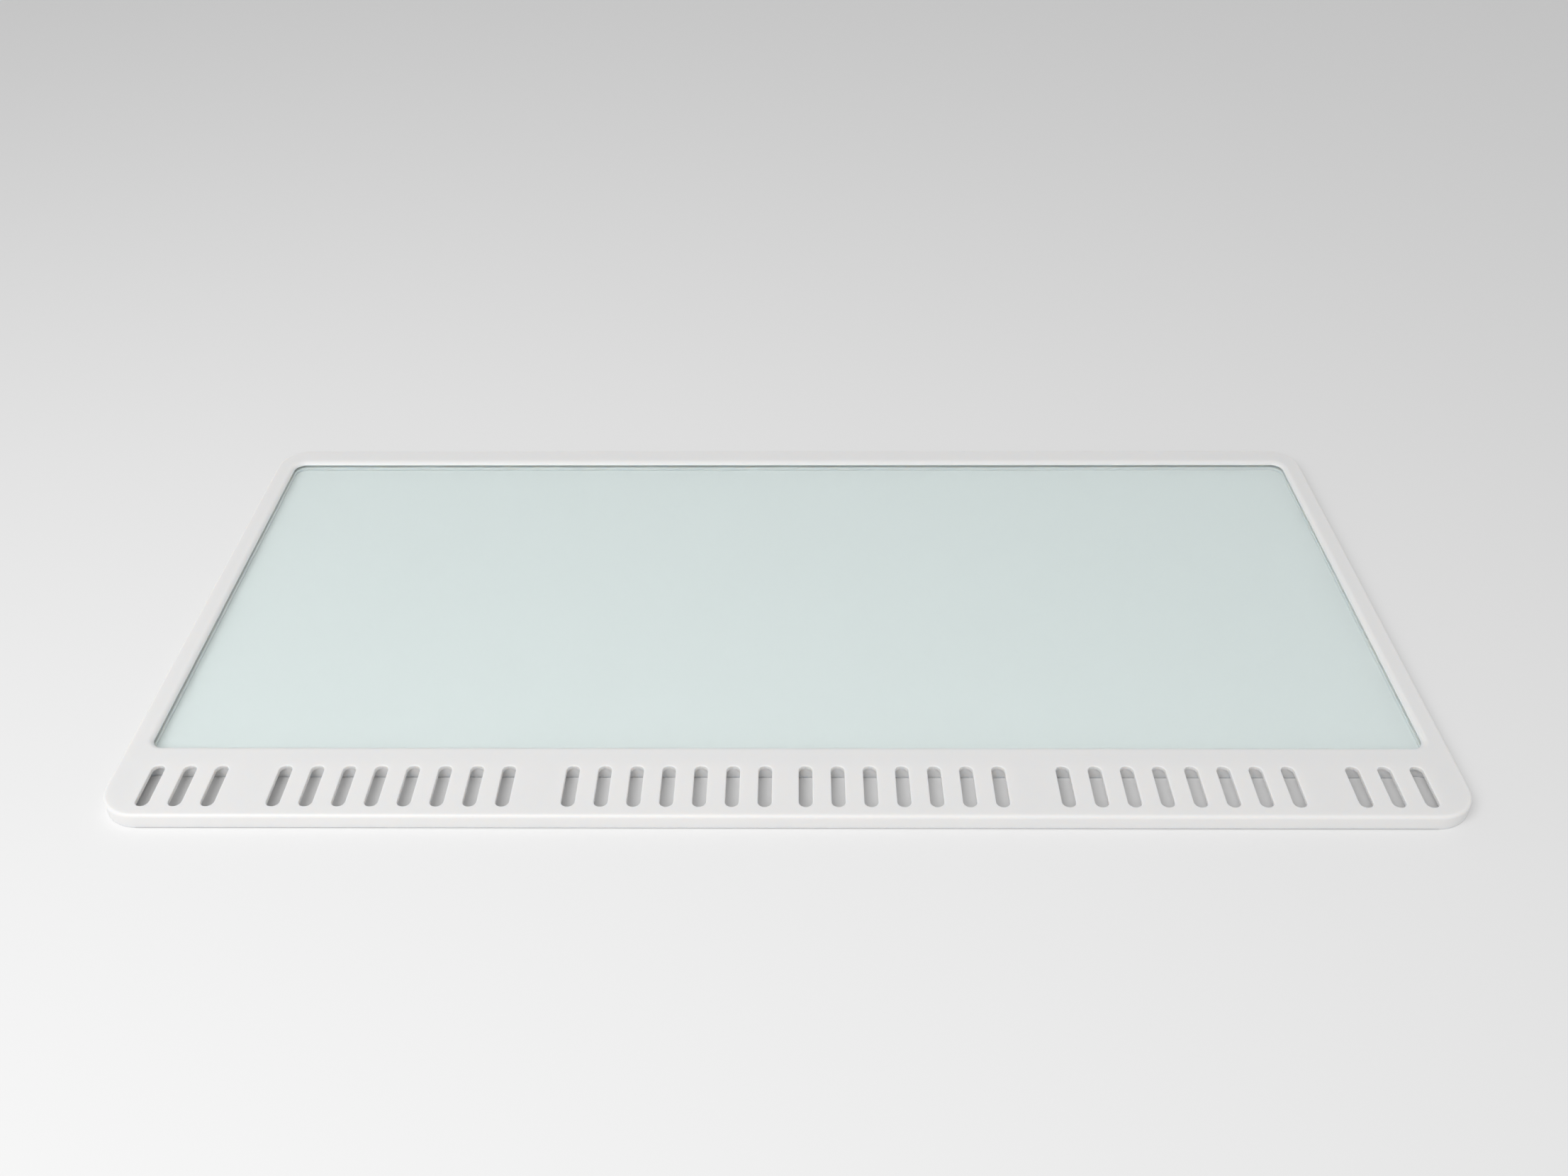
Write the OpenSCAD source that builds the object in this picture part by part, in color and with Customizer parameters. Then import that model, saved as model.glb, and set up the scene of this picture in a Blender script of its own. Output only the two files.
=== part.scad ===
// Refrigerator shelf: a toughened glass pane held all round in a one-piece moulded plastic frame.
// Millimetres, +Z up, front towards -Y, origin in the middle of the underside.

/* [Frame outline] */
// Overall width of the frame, left to right
frame_w = 504; // [380:1:600]
// Overall depth of the frame, front to back
frame_d = 250; // [180:1:360]
// Depth of the slotted front band, from the front face to the window
front_band = 36.5; // [32:0.5:60]
// Width of each side bar, from the outer face to the window
side_bar = 8.5; // [7:0.5:16]
// Depth of the back bar, from the window to the back face
back_bar = 11.5; // [8:0.5:20]
// Plan radius of the two front corners
front_corner_r = 15; // [8:0.5:25]
// Plan radius of the two back corners
back_corner_r = 13; // [8:0.5:25]
// Plan radius of the window's four corners
window_corner_r = 5; // [3:0.5:12]

/* [Frame section] */
// Thickness of the lip under the glass
base_lip_t = 1.6; // [1.2:0.1:3]
// Thickness of the lip over the glass, and of the slotted web
cover_lip_t = 1.7; // [1.2:0.1:3]
// Thickness of the side and back walls
wall_t = 2.5; // [1.6:0.1:3.5]
// Width of the front lip over the glass
front_lip = 8.4; // [5:0.1:10]
// Radius along the upper outer edge
edge_r = 1.2; // [0.4:0.1:1.6]
// Radius along the lower edges, where the frame meets what it rests on
foot_edge_r = 0.4; // [0.2:0.1:0.8]
// Width over which the cover lip rounds down to the glass
lip_round_w = 2.3; // [1.5:0.1:3.5]
// Height of the upright land where the cover lip meets the glass
lip_land = 0.4; // [0.2:0.1:0.8]

/* [Glass pane] */
// Thickness of the glass
glass_t = 3.2; // [2.8:0.1:5]
// Free space between the ground edge of the glass and the frame wall
glass_gap = 0.4; // [0.2:0.1:1]
// Ground bevel along the edges of the glass
glass_bevel = 0.4; // [0.2:0.1:1]

/* [Slots] */
// Width of each slot
slot_w = 5; // [3:0.5:7]
// Distance between neighbouring slot centres in a group
slot_pitch = 12; // [10:0.5:18]
// Distance between the two slots on either side of the middle
centre_gap = 15; // [12:0.5:30]
// Slots in each of the two inner groups
slots_inner = 7; // [3:1:12]
// Slots in each of the two middle groups
slots_middle = 8; // [3:1:12]
// Land between the front face and the slots
slot_front_land = 4.9; // [4:0.1:8]
// Radius round the upper mouth of each slot
slot_edge_r = 0.35; // [0.1:0.05:0.6]

/* [Underside] */
// Thickness of the front skirt
skirt_t = 2; // [1.5:0.1:3]
// Height of the skirt's lower edge above the resting plane, between the front corners
skirt_lift = 0.4; // [0.2:0.1:1]
// Thickness of the wall between the hollow front band and the glass channel
channel_wall_t = 2; // [1.5:0.1:3]
// Distance from that wall to the back end of the slots
slot_wall_gap = 0.2; // [0.1:0.1:4]
// Thickness of the cross ribs under the front band
rib_t = 1.5; // [1:0.1:2.5]
// Height of the ribs' lower edge above the resting plane
rib_lift = 0.8; // [0.2:0.1:2]

/* [Hidden] */

// Facets of a full turn, for the preview only: round faces stay true curves
$fn = 96;
// Overshoot of a cutting shape past the face that it opens
over = 1;
plastic_colour = "#eef1f6";
glass_colour = [0.76, 0.87, 0.84, 0.45];

frame_h = base_lip_t + glass_t + cover_lip_t;
channel_z = base_lip_t;
web_z = frame_h - cover_lip_t;

window_w = frame_w - 2 * side_bar;
window_d = frame_d - front_band - back_bar;
window_y = (front_band - back_bar) / 2;

// The glass channel runs under both lips as far as the walls
channel_w = frame_w - 2 * wall_t;
channel_front_y = -frame_d / 2 + front_band - front_lip;
channel_back_y = frame_d / 2 - wall_t;
channel_d = channel_back_y - channel_front_y;
channel_y = (channel_back_y + channel_front_y) / 2;
channel_corner_r = back_corner_r - wall_t;

// The cover lip's rounding is an arc that starts level and drops to the land over its width
lip_drop = cover_lip_t - lip_land;
lip_arc_r = (lip_round_w * lip_round_w + lip_drop * lip_drop) / (2 * lip_drop);

// The hollow under the front band lies between the skirt and the channel wall
hollow_front_y = -frame_d / 2 + skirt_t;
hollow_back_y = channel_front_y - channel_wall_t;
hollow_d = hollow_back_y - hollow_front_y;
hollow_w = frame_w - 2 * wall_t;
hollow_corner_r = front_corner_r - wall_t;
// Inside corner radius at the two back ends of the hollow
hollow_back_r = 1;

slot_front_y = -frame_d / 2 + slot_front_land;
slot_l = hollow_back_y - slot_wall_gap - slot_front_y;
slot_y = slot_front_y + slot_l / 2;

// Slot centres right of the middle: three groups with one slot left out between them,
// and as many slots in the outer group as the hollow's rounded front corner has room for
corner_x = frame_w / 2 - front_corner_r;
corner_y = -frame_d / 2 + front_corner_r;
corner_reach = front_corner_r - wall_t - slot_w / 2;
slot_end_y = slot_front_y + slot_w / 2;
function slot_fits(x) = norm([max(x - corner_x, 0), min(slot_end_y - corner_y, 0)]) <= corner_reach;
function slot_x(i) = centre_gap / 2 + i * slot_pitch;
function group(first, last) = [for (i = [first : 1 : last]) if (slot_fits(slot_x(i))) slot_x(i)];
middle_start = slots_inner + 1;
outer_start = middle_start + slots_middle + 1;
most_slots = ceil(frame_w / 2 / slot_pitch);
groups = [
    group(0, slots_inner - 1),
    group(middle_start, middle_start + slots_middle - 1),
    group(outer_start, outer_start + most_slots)
];

// A rib stands half a pitch outside the last slot of each group
rib_xs = [for (g = groups) if (len(g) > 0) g[len(g) - 1] + slot_pitch / 2];

// Rectangle with rounded corners, with one radius in front and one at the back
module rounded_plan(w, d, front_r, back_r) {
    translate([-w / 2, -d / 2 + front_r]) square([w, d - front_r - back_r]);
    translate([-w / 2 + front_r, -d / 2]) square([w - 2 * front_r, d / 2]);
    translate([-w / 2 + back_r, 0]) square([w - 2 * back_r, d / 2]);
    for (side = [-1, 1]) {
        translate([side * (w / 2 - front_r), -d / 2 + front_r]) circle(front_r);
        translate([side * (w / 2 - back_r), d / 2 - back_r]) circle(back_r);
    }
}

// Carries a profile round a rounded rectangle: the profile's x points outwards and its y upwards
module along_outline(w, d, front_r, back_r) {
    straight_y = (front_r - back_r) / 2;
    translate([0, -d / 2, 0]) rotate([0, 0, -90]) straight_run(w - 2 * front_r) children();
    translate([0, d / 2, 0]) rotate([0, 0, 90]) straight_run(w - 2 * back_r) children();
    translate([w / 2, straight_y, 0]) straight_run(d - front_r - back_r) children();
    translate([-w / 2, straight_y, 0]) rotate([0, 0, 180]) straight_run(d - front_r - back_r) children();
    translate([w / 2 - back_r, d / 2 - back_r, 0]) corner_turn(back_r) children();
    translate([-w / 2 + back_r, d / 2 - back_r, 0]) rotate([0, 0, 90]) corner_turn(back_r) children();
    translate([-w / 2 + front_r, -d / 2 + front_r, 0]) rotate([0, 0, 180]) corner_turn(front_r) children();
    translate([w / 2 - front_r, -d / 2 + front_r, 0]) rotate([0, 0, 270]) corner_turn(front_r) children();
}

module straight_run(length) {
    rotate([90, 0, 0]) linear_extrude(height = length, center = true) children();
}

module corner_turn(radius) {
    rotate_extrude(angle = 90) translate([radius, 0]) children();
}

// What a round of radius r takes off an upper edge at height z; the edge is at x = 0
module upper_round(r, z) {
    difference() {
        translate([-r, z - r]) square([r + over, r + over]);
        translate([-r, z - r]) circle(r);
    }
}

// The same for a lower edge at height 0
module lower_round(r) {
    difference() {
        translate([-r, -over]) square([r + over, r + over]);
        translate([-r, r]) circle(r);
    }
}

// What the cover lip's rounding takes off; the window's edge is at x = 0 and the lip lies outwards
module lip_round() {
    difference() {
        translate([-over, frame_h - lip_drop]) square([lip_round_w + over, lip_drop + over]);
        translate([lip_round_w, frame_h - lip_arc_r]) circle(lip_arc_r);
        translate([lip_round_w, frame_h - lip_arc_r]) square([over, lip_arc_r]);
    }
}

// What the lower edge of the window loses
module window_foot_round() {
    mirror([1, 0]) lower_round(foot_edge_r);
}

module slab() {
    difference() {
        linear_extrude(height = frame_h) rounded_plan(frame_w, frame_d, front_corner_r, back_corner_r);
        along_outline(frame_w, frame_d, front_corner_r, back_corner_r) upper_round(edge_r, frame_h);
        along_outline(frame_w, frame_d, front_corner_r, back_corner_r) lower_round(foot_edge_r);
    }
}

module window_cut() {
    translate([0, window_y, 0]) {
        translate([0, 0, -over]) linear_extrude(height = frame_h + 2 * over)
            rounded_plan(window_w, window_d, window_corner_r, window_corner_r);
        along_outline(window_w, window_d, window_corner_r, window_corner_r) lip_round();
        along_outline(window_w, window_d, window_corner_r, window_corner_r) window_foot_round();
    }
}

module channel_cut() {
    translate([0, channel_y, channel_z]) linear_extrude(height = glass_t)
        rounded_plan(channel_w, channel_d, channel_corner_r, channel_corner_r);
}

// Section across a slot, from below the web to above its rounded mouth
module slot_section() {
    translate([-slot_w / 2, web_z - over]) square([slot_w, cover_lip_t + 2 * over]);
    difference() {
        translate([-slot_w / 2 - slot_edge_r, frame_h - slot_edge_r])
            square([slot_w + 2 * slot_edge_r, slot_edge_r + over]);
        for (side = [-1, 1])
            translate([side * (slot_w / 2 + slot_edge_r), frame_h - slot_edge_r]) circle(slot_edge_r);
    }
}

module slot_half_section() {
    intersection() {
        slot_section();
        translate([0, web_z - over]) square([slot_w, cover_lip_t + 2 * over]);
    }
}

module slot_cut() {
    straight_l = slot_l - slot_w;
    rotate([90, 0, 0]) linear_extrude(height = straight_l, center = true) slot_section();
    translate([0, straight_l / 2, 0]) rotate_extrude(angle = 180) slot_half_section();
    translate([0, -straight_l / 2, 0]) rotate([0, 0, 180]) rotate_extrude(angle = 180) slot_half_section();
}

module slots_cut() {
    for (side = [-1, 1], g = groups, x = g) translate([side * x, slot_y, 0]) slot_cut();
}

// One rib of the hollow's full depth, cut short of the resting plane
module rib(x) {
    translate([x - rib_t / 2, hollow_front_y - over, rib_lift]) cube([rib_t, hollow_d + 2 * over, web_z]);
}

module hollow_cut() {
    difference() {
        translate([0, (hollow_front_y + hollow_back_y) / 2, -over]) linear_extrude(height = web_z + over)
            rounded_plan(hollow_w, hollow_d, hollow_corner_r, hollow_back_r);
        rib(0);
        for (side = [-1, 1], x = rib_xs) rib(side * x);
    }
}

// The skirt stands clear of the resting plane along the straight front edge
module skirt_relief() {
    relief_w = frame_w - 2 * front_corner_r;
    translate([-relief_w / 2, -frame_d / 2 - over, -over])
        cube([relief_w, skirt_t + 2 * over, skirt_lift + over]);
}

module frame() {
    color(plastic_colour) difference() {
        slab();
        window_cut();
        channel_cut();
        hollow_cut();
        slots_cut();
        skirt_relief();
    }
}

// What the ground bevel takes off the edge of the glass, above and below
module bevel_section() {
    polygon([[over, -over], [over, glass_bevel + over], [-glass_bevel - over, -over]]);
}

module glass_pane() {
    glass_w = channel_w - 2 * glass_gap;
    glass_d = channel_d - 2 * glass_gap;
    glass_r = channel_corner_r - glass_gap;
    color(glass_colour) translate([0, channel_y, channel_z]) difference() {
        linear_extrude(height = glass_t) rounded_plan(glass_w, glass_d, glass_r, glass_r);
        along_outline(glass_w, glass_d, glass_r, glass_r) bevel_section();
        along_outline(glass_w, glass_d, glass_r, glass_r)
            translate([0, glass_t]) mirror([0, 1]) bevel_section();
    }
}

frame();
glass_pane();
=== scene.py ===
"""Looks of a refrigerator shelf: a toughened glass pane in a white moulded plastic frame with a slotted front band."""

import math

import bpy
from bpy.props import FloatProperty, FloatVectorProperty, PointerProperty
from mathutils import Matrix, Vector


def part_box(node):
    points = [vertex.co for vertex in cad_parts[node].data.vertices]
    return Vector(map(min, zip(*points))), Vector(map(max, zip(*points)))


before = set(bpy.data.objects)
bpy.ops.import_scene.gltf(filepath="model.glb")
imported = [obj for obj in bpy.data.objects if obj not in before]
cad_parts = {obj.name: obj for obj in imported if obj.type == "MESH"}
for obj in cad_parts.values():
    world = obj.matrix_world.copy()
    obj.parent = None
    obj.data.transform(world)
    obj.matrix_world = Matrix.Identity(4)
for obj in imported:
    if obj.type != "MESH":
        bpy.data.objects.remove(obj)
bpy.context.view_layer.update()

bl_info = {
    "name": "Refrigerator shelf",
    "version": (1, 0, 0),
    "blender": (4, 5, 0),
    "location": "3D View > Sidebar > Shelf",
    "description": "Finishes a glass refrigerator shelf in its moulded frame and sets its studio",
    "category": "Object",
}

BODY = "root"
FRAME_LOW, FRAME_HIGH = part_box("frame")
GLASS_LOW, GLASS_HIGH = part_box("glass_pane")
MM = 0.001


class Shade:
    """A shader socket in plain arithmetic: each operation adds a Math node."""

    def __init__(self, finish, socket):
        self.finish = finish
        self.socket = socket

    def _math(self, operation, first, second=0.0):
        made = self.finish.node("ShaderNodeMath", {"operation": operation}, {"Value": first, "Value_001": second})
        return made["Value"]

    def __add__(self, other):
        return self._math("ADD", self, other)

    __radd__ = __add__

    def __sub__(self, other):
        return self._math("SUBTRACT", self, other)

    def __rsub__(self, other):
        return self._math("SUBTRACT", other, self)

    def __mul__(self, other):
        return self._math("MULTIPLY", self, other)

    __rmul__ = __mul__

    def __truediv__(self, other):
        return self._math("DIVIDE", self, other)

    def __rtruediv__(self, other):
        return self._math("DIVIDE", other, self)

    def __pow__(self, other):
        return self._math("POWER", self, other)

    def __neg__(self):
        return self._math("MULTIPLY", self, -1.0)

    def __abs__(self):
        return self._math("ABSOLUTE", self)

    def at_least(self, other):
        return self._math("MAXIMUM", self, other)

    def at_most(self, other):
        return self._math("MINIMUM", self, other)


class Outputs:
    """The output sockets of one node, by name."""

    def __init__(self, finish, node):
        self.finish = finish
        self.node = node

    def __getitem__(self, name):
        return Shade(self.finish, find_socket(self.node.outputs, name))


def find_socket(sockets, name):
    """The enabled socket with that identifier, or else with that name."""
    for key in ("identifier", "name"):
        for socket in sockets:
            if socket.enabled and getattr(socket, key) == name:
                return socket
    raise KeyError(f"no socket named {name!r}")


class Finish:
    """A material's or a world's node tree, and the parts that finishes are built from."""

    def __init__(self, owner):
        owner.use_nodes = True
        self.owner = owner
        self.tree = owner.node_tree
        self.tree.nodes.clear()

    def node(self, kind, settings=None, inputs=None):
        """Adds a node: its settings first, then values or links for its sockets."""
        node = self.tree.nodes.new(kind)
        for name, value in (settings or {}).items():
            if name == "stops":
                self._set_stops(node.color_ramp, value)
            else:
                setattr(node, name, value)
        for name, value in (inputs or {}).items():
            socket = find_socket(node.inputs, name)
            if isinstance(value, Shade):
                self.tree.links.new(value.socket, socket)
            else:
                socket.default_value = value
        return Outputs(self, node)

    @staticmethod
    def _set_stops(ramp, stops):
        while len(ramp.elements) > 1:
            ramp.elements.remove(ramp.elements[-1])
        for number, (place, colour) in enumerate(stops):
            element = ramp.elements[0] if number == 0 else ramp.elements.new(place)
            element.position = place
            element.color = colour

    def place(self):
        """The place on the object, in metres, as a vector and as its three numbers."""
        where = self.node("ShaderNodeTexCoord")["Object"]
        split = self.node("ShaderNodeSeparateXYZ", None, {"Vector": where})
        return where, split["X"], split["Y"], split["Z"]

    def stretched(self, where, scale, turn=0.0):
        """The place scaled along each axis and turned about Z, to draw out a pattern."""
        settings = {"vector_type": "POINT"}
        inputs = {"Vector": where, "Scale": scale, "Rotation": (0.0, 0.0, turn)}
        return self.node("ShaderNodeMapping", settings, inputs)["Vector"]

    def noise(self, where, size, detail=2.0, roughness=0.5):
        """Cloudy values from 0 to 1 whose blobs are about size metres across."""
        inputs = {"Vector": where, "Scale": 1.0 / size, "Detail": detail, "Roughness": roughness}
        return self.node("ShaderNodeTexNoise", {"noise_dimensions": "3D"}, inputs)["Fac"]

    def step(self, value, low, high):
        """0 where value is below low, 1 above high, with a smooth passage between them."""
        settings = {"interpolation_type": "SMOOTHSTEP", "clamp": True}
        inputs = {"Value": value, "From Min": low, "From Max": high, "To Min": 0.0, "To Max": 1.0}
        return self.node("ShaderNodeMapRange", settings, inputs)["Result"]

    def mix(self, factor, under, over):
        """Lays the colour over on the colour under."""
        settings = {"data_type": "RGBA", "blend_type": "MIX"}
        inputs = {"Factor_Float": factor, "A_Color": under, "B_Color": over}
        return self.node("ShaderNodeMix", settings, inputs)["Result_Color"]

    def bump(self, height, depth, normal=None):
        """A relief of that depth in metres."""
        inputs = {"Height": height, "Distance": depth, "Strength": 1.0}
        if normal is not None:
            inputs["Normal"] = normal
        return self.node("ShaderNodeBump", None, inputs)["Normal"]

    def spot(self, x, y, at, radius):
        """1 inside a round speck at a point of the top face, falling to 0 at its rim."""
        away = ((x - at[0]) ** 2.0 + (y - at[1]) ** 2.0) ** 0.5
        return 1.0 - self.step(away, 0.55 * radius, radius)

    def hairline(self, x, y, start, end, width):
        """1 on a thin line between two points of the top face."""
        length = math.dist(start, end)
        along_x, along_y = (end[0] - start[0]) / length, (end[1] - start[1]) / length
        along = (x - start[0]) * along_x + (y - start[1]) * along_y
        across = abs((x - start[0]) * along_y - (y - start[1]) * along_x)
        inside = self.step(along, 0.0, 0.3 * length) * (1.0 - self.step(along, 0.7 * length, length))
        return (1.0 - self.step(across, 0.4 * width, width)) * inside

    def surface(self, shader):
        self.node("ShaderNodeOutputMaterial", None, {"Surface": shader})


def rgba(colour):
    return (colour[0], colour[1], colour[2], 1.0)


def new_material(name):
    return Finish(bpy.data.materials.new(name))


def dress(piece, material):
    """Gives a piece one material all over."""
    piece.data.materials.clear()
    piece.data.materials.append(material)


class ShelfPlastic(bpy.types.PropertyGroup):
    """The moulded frame's finish"""

    colour: FloatVectorProperty(
        name="Plastic colour", description="Colour of the moulded plastic",
        subtype="COLOR", size=3, min=0.0, max=1.0, default=(0.80, 0.795, 0.79))
    grime_colour: FloatVectorProperty(
        name="Grime colour", description="Colour of what has settled in corners and edges",
        subtype="COLOR", size=3, min=0.0, max=1.0, default=(0.36, 0.31, 0.27))
    grime: FloatProperty(
        name="Grime", description="How much has settled in corners and edges",
        subtype="FACTOR", min=0.0, max=1.0, default=0.35)
    roughness: FloatProperty(
        name="Roughness", description="How dull the plastic is",
        subtype="FACTOR", min=0.05, max=1.0, default=0.38)
    grain_size: FloatProperty(
        name="Grain size", description="Size of the mould's fine grain",
        unit="LENGTH", precision=5, min=0.0001, max=0.005, default=0.0006)
    grain_depth: FloatProperty(
        name="Grain depth", description="Depth of the mould's fine grain",
        unit="LENGTH", precision=6, min=0.0, max=0.0005, default=0.000008)


class ShelfGlass(bpy.types.PropertyGroup):
    """The glass pane's finish"""

    tint: FloatVectorProperty(
        name="Tint", description="Colour that the glass keeps of the light passing through it",
        subtype="COLOR", size=3, min=0.0, max=1.0, default=(0.05, 0.90, 0.80))
    density: FloatProperty(
        name="Tint density", description="How fast the glass takes up the other colours, per metre",
        min=0.0, max=200.0, default=17.0)
    seat_gap: FloatProperty(
        name="Seat gap", description="Air between the pane and the lips that hold it",
        unit="LENGTH", precision=6, min=0.0, max=0.0005, default=0.00002)
    marks: FloatProperty(
        name="Marks", description="How strongly specks and hairline scratches show",
        subtype="FACTOR", min=0.0, max=1.0, default=0.85)


class ShelfStudio(bpy.types.PropertyGroup):
    """Floor, light and camera"""

    floor_colour: FloatVectorProperty(
        name="Floor colour", description="Colour of the floor",
        subtype="COLOR", size=3, min=0.0, max=1.0, default=(0.82, 0.82, 0.82))
    sky: FloatProperty(
        name="Fill light", description="Strength of the light from all round",
        min=0.0, max=2.0, default=0.6)
    key: FloatProperty(
        name="Key light", description="Power of the large lamp in front of the shelf",
        unit="POWER", min=0.0, max=500.0, default=9.0)
    camera_place: FloatVectorProperty(
        name="Camera place", description="Where the camera stands",
        subtype="TRANSLATION", unit="LENGTH", size=3, default=(0.00308, -0.48223, 0.38193))
    camera_turn: FloatVectorProperty(
        name="Camera turn", description="Pitch, roll and heading of the camera",
        subtype="EULER", size=3, default=(math.radians(52.729), math.radians(0.228), math.radians(0.319)))
    lens: FloatProperty(
        name="Lens", description="Focal length for a frame 36 mm wide",
        subtype="DISTANCE_CAMERA", min=10.0, max=200.0, default=32.55)


class SHELF_OT_finish_frame(bpy.types.Operator):
    """Give the moulded frame its plastic"""

    bl_idname = "shelf.finish_frame"
    bl_label = "Finish the frame"

    def execute(self, context):
        look = context.scene.shelf_plastic
        finish = new_material("moulded_plastic")
        where, x, y, z = finish.place()
        clouds = finish.noise(where, 45 * MM, 3.0, 0.6)
        grain = finish.noise(where, look.grain_size, 2.0, 0.6)
        waves = finish.noise(where, 18 * MM, 1.0, 0.4)
        scuffs = finish.noise(finish.stretched(where, (1.0, 14.0, 14.0), 0.5), 14 * MM, 4.0, 0.7)
        scuff_mask = finish.step(scuffs, 0.66, 0.72) * finish.step(clouds, 0.45, 0.65)
        shade = finish.mix(finish.step(clouds, 0.3, 0.75) * 0.35, rgba(look.colour), (0.775, 0.775, 0.775, 1.0))
        shade = finish.mix(scuff_mask * 0.25 * look.grime, shade, rgba(look.grime_colour))
        roughness = look.roughness + (clouds - 0.5) * 0.1 + scuff_mask * 0.12
        relief = finish.bump(waves, 25e-6)
        relief = finish.bump(grain, look.grain_depth, relief)
        finish.surface(finish.node("ShaderNodeBsdfPrincipled", None, {
            "Base Color": shade, "Roughness": roughness, "Normal": relief, "IOR": 1.5,
            "Subsurface Weight": 1.0, "Subsurface Radius": (1.0, 0.9, 0.8), "Subsurface Scale": 0.002,
        })["BSDF"])
        dress(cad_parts["frame"], finish.owner)
        return {"FINISHED"}


class SHELF_OT_finish_glass(bpy.types.Operator):
    """Give the pane its glass"""

    bl_idname = "shelf.finish_glass"
    bl_label = "Finish the glass"

    def execute(self, context):
        look = context.scene.shelf_glass
        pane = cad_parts["glass_pane"]
        finish = new_material("float_glass")
        where, x, y, z = finish.place()
        glass = finish.node("ShaderNodeBsdfPrincipled", None, {
            "Base Color": (1.0, 1.0, 1.0, 1.0), "Roughness": 0.0, "IOR": 1.52, "Transmission Weight": 1.0,
        })["BSDF"]
        tint = finish.node("ShaderNodeVolumeAbsorption", None, {
            "Color": rgba(look.tint), "Density": look.density,
        })["Volume"]
        finish.node("ShaderNodeOutputMaterial", None, {"Surface": glass, "Volume": tint})
        dress(pane, finish.owner)
        weld = pane.modifiers.new("close_edges", "WELD")
        weld.merge_threshold = 1e-6
        shrink = pane.modifiers.new("seat_gap", "DISPLACE")
        shrink.direction = "NORMAL"
        shrink.mid_level = 0.0
        shrink.strength = -look.seat_gap
        return {"FINISHED"}


class SHELF_OT_set_studio(bpy.types.Operator):
    """Lay the floor, hang the lights and place the camera"""

    bl_idname = "shelf.set_studio"
    bl_label = "Set the studio"

    def execute(self, context):
        look = context.scene.shelf_studio
        self.lay_floor(context, look)
        self.hang_lights(context, look)
        self.place_camera(context, look)
        context.scene.view_settings.view_transform = "Standard"
        context.scene.cycles.blur_glossy = 0.0
        return {"FINISHED"}

    def lay_floor(self, context, look):
        reach = 4.0
        mesh = bpy.data.meshes.new("floor")
        corners = [(-reach, -reach, 0.0), (reach, -reach, 0.0), (reach, reach, 0.0), (-reach, reach, 0.0)]
        mesh.from_pydata(corners, [], [(0, 1, 2, 3)])
        floor = bpy.data.objects.new("floor", mesh)
        context.scene.collection.objects.link(floor)
        finish = new_material("floor_paint")
        finish.surface(finish.node("ShaderNodeBsdfPrincipled", None, {
            "Base Color": rgba(look.floor_colour), "Roughness": 0.7, "Specular IOR Level": 0.2,
        })["BSDF"])
        dress(floor, finish.owner)

    def hang_lights(self, context, look):
        world = bpy.data.worlds.new("studio")
        context.scene.world = world
        finish = Finish(world)
        background = finish.node("ShaderNodeBackground", None, {
            "Color": (1.0, 1.0, 1.0, 1.0), "Strength": look.sky,
        })["Background"]
        finish.node("ShaderNodeOutputWorld", None, {"Surface": background})
        lamp = bpy.data.lights.new("key_lamp", "AREA")
        lamp.shape = "RECTANGLE"
        lamp.size = 1.0
        lamp.size_y = 0.8
        lamp.energy = look.key
        key = bpy.data.objects.new("key_lamp", lamp)
        context.scene.collection.objects.link(key)
        key.matrix_world = Matrix.Translation((-0.45, -0.75, 0.95)) @ aim((-0.45, -0.75, 0.95), (0.0, -0.1, 0.0))

    def place_camera(self, context, look):
        data = bpy.data.cameras.new("camera")
        data.sensor_fit = "HORIZONTAL"
        data.sensor_width = 36.0
        data.lens = look.lens
        camera = bpy.data.objects.new("camera", data)
        context.scene.collection.objects.link(camera)
        camera.location = look.camera_place
        camera.rotation_euler = look.camera_turn
        context.scene.camera = camera


def aim(place, target):
    """The turn that points a lamp's -Z from a place to a target."""
    from mathutils import Vector
    return (Vector(target) - Vector(place)).to_track_quat("-Z", "Y").to_matrix().to_4x4()


class SHELF_PT_panel(bpy.types.Panel):
    """The shelf's finishes and studio in the sidebar"""

    bl_idname = "SHELF_PT_panel"
    bl_label = "Refrigerator shelf"
    bl_space_type = "VIEW_3D"
    bl_region_type = "UI"
    bl_category = "Shelf"

    def draw(self, context):
        scene = context.scene
        for group, operator in ((scene.shelf_plastic, SHELF_OT_finish_frame),
                                (scene.shelf_glass, SHELF_OT_finish_glass),
                                (scene.shelf_studio, SHELF_OT_set_studio)):
            box = self.layout.box()
            for name in group.bl_rna.properties.keys():
                if name not in {"rna_type", "name"}:
                    box.prop(group, name)
            box.operator(operator.bl_idname)


CLASSES = (
    ShelfPlastic, ShelfGlass, ShelfStudio,
    SHELF_OT_finish_frame, SHELF_OT_finish_glass, SHELF_OT_set_studio, SHELF_PT_panel,
)


def register():
    for cls in CLASSES:
        bpy.utils.register_class(cls)
    bpy.types.Scene.shelf_plastic = PointerProperty(type=ShelfPlastic)
    bpy.types.Scene.shelf_glass = PointerProperty(type=ShelfGlass)
    bpy.types.Scene.shelf_studio = PointerProperty(type=ShelfStudio)


def unregister():
    del bpy.types.Scene.shelf_studio
    del bpy.types.Scene.shelf_glass
    del bpy.types.Scene.shelf_plastic
    for cls in reversed(CLASSES):
        bpy.utils.unregister_class(cls)


def main():
    register()
    bpy.ops.shelf.finish_frame()
    bpy.ops.shelf.finish_glass()
    bpy.ops.shelf.set_studio()


if __name__ == "__main__":
    main()
